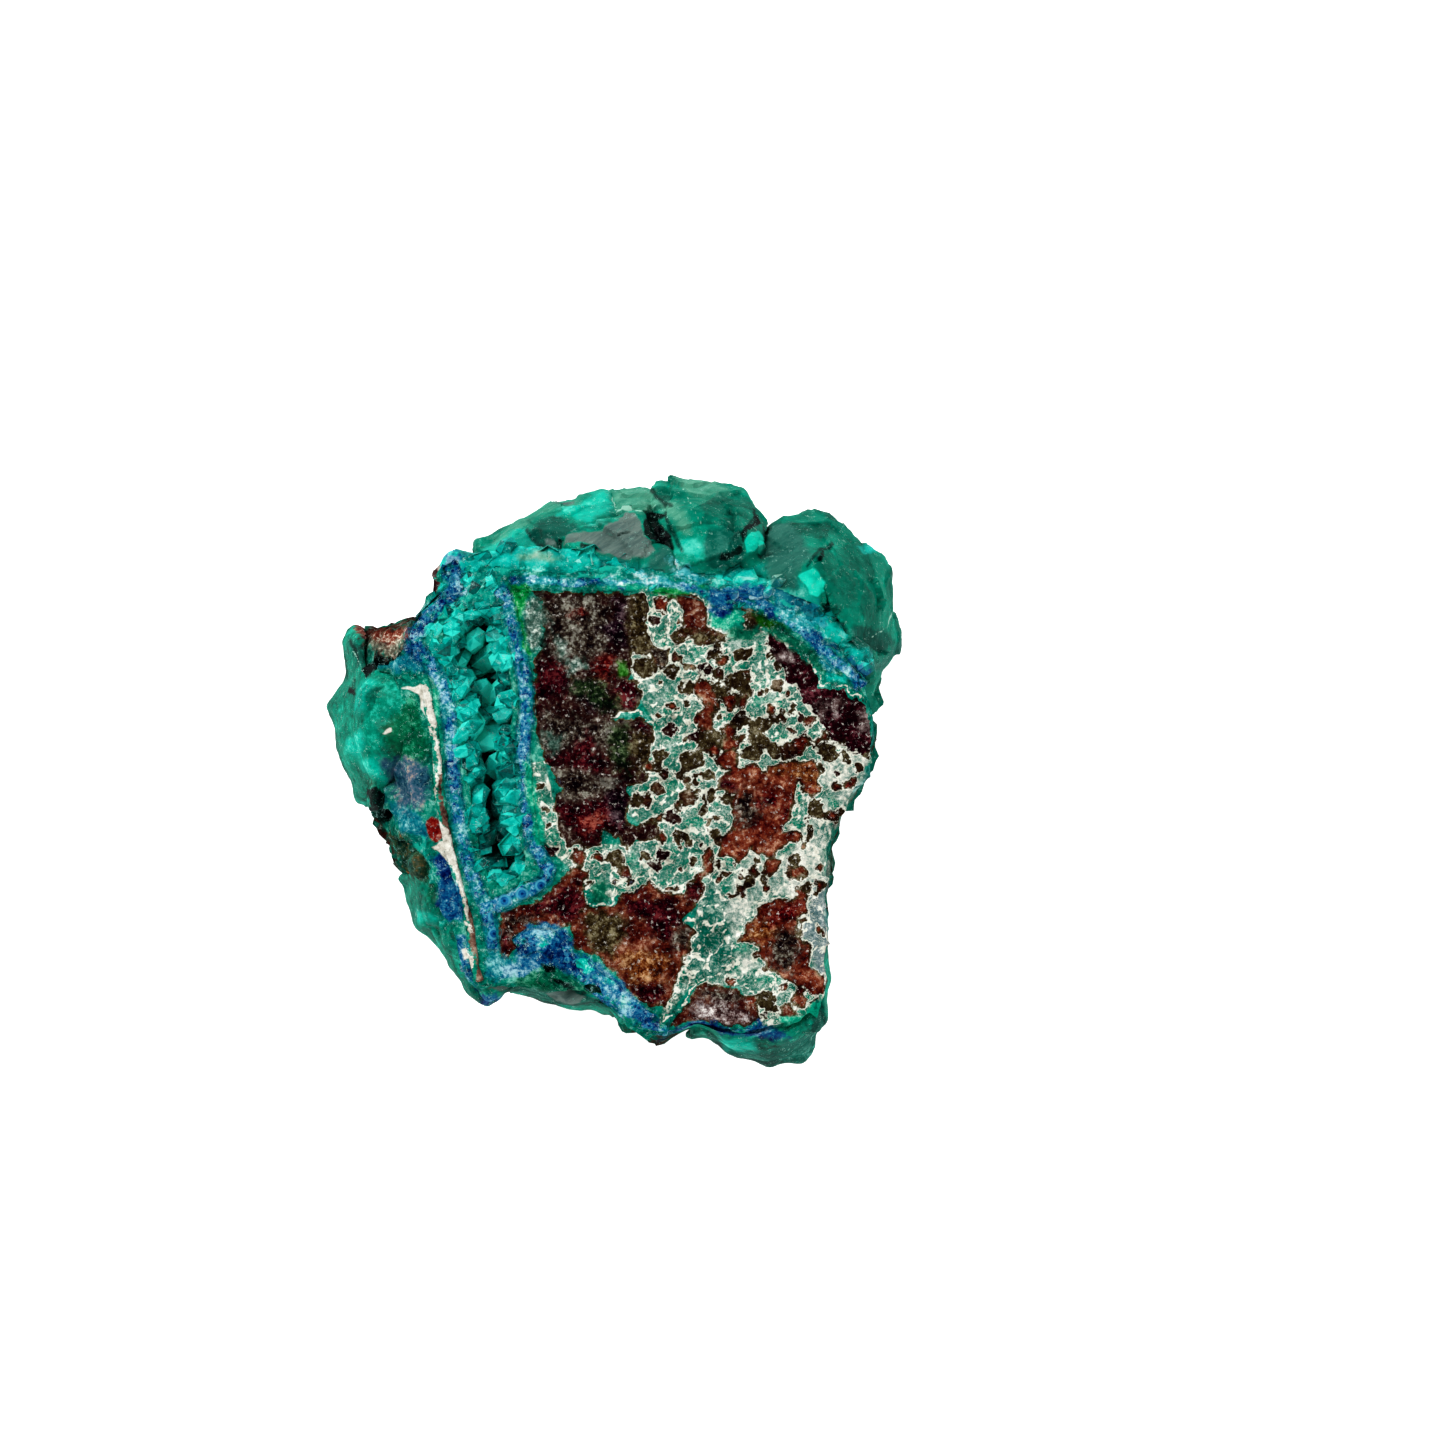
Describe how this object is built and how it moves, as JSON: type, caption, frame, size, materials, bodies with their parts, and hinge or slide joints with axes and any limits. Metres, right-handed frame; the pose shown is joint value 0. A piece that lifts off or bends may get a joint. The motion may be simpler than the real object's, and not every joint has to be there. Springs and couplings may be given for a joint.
{
  "type": "mineral specimen",
  "caption": "Lump of copper ore with a flat broad face: brown windows in pale lace, blue bands, an open crystal-lined hollow and green crystals along its edges. Rests on its flat back.",
  "frame": {"origin": "middle of the flat patch on the underside that the stone rests on", "axes": "+Z out of the broad face, +Y in that face towards the crystal crest, +X to the right of the face"},
  "size_m": [0.049, 0.05, 0.0245],
  "materials": {
    "ore": "matte",
    "blue_layer": "silky",
    "pale_vein": "matte",
    "green_crystal": "vitreous",
    "hollow_crystal": "vitreous"
  },
  "bodies": {
    "root": {"host_rock": "ore", "shattuckite_vug_band": "blue_layer", "shattuckite_crest_band": "blue_layer", "shattuckite_foot_band": "blue_layer", "calcite_seam": "pale_vein", "dioptase_crest": "green_crystal", "dioptase_left_flank": "green_crystal", "dioptase_lower_flank": "green_crystal", "dioptase_foot": "green_crystal", "dioptase_foot_nook": "green_crystal", "vug_crystal_crust": "hollow_crystal"}
  },
  "joints": []
}
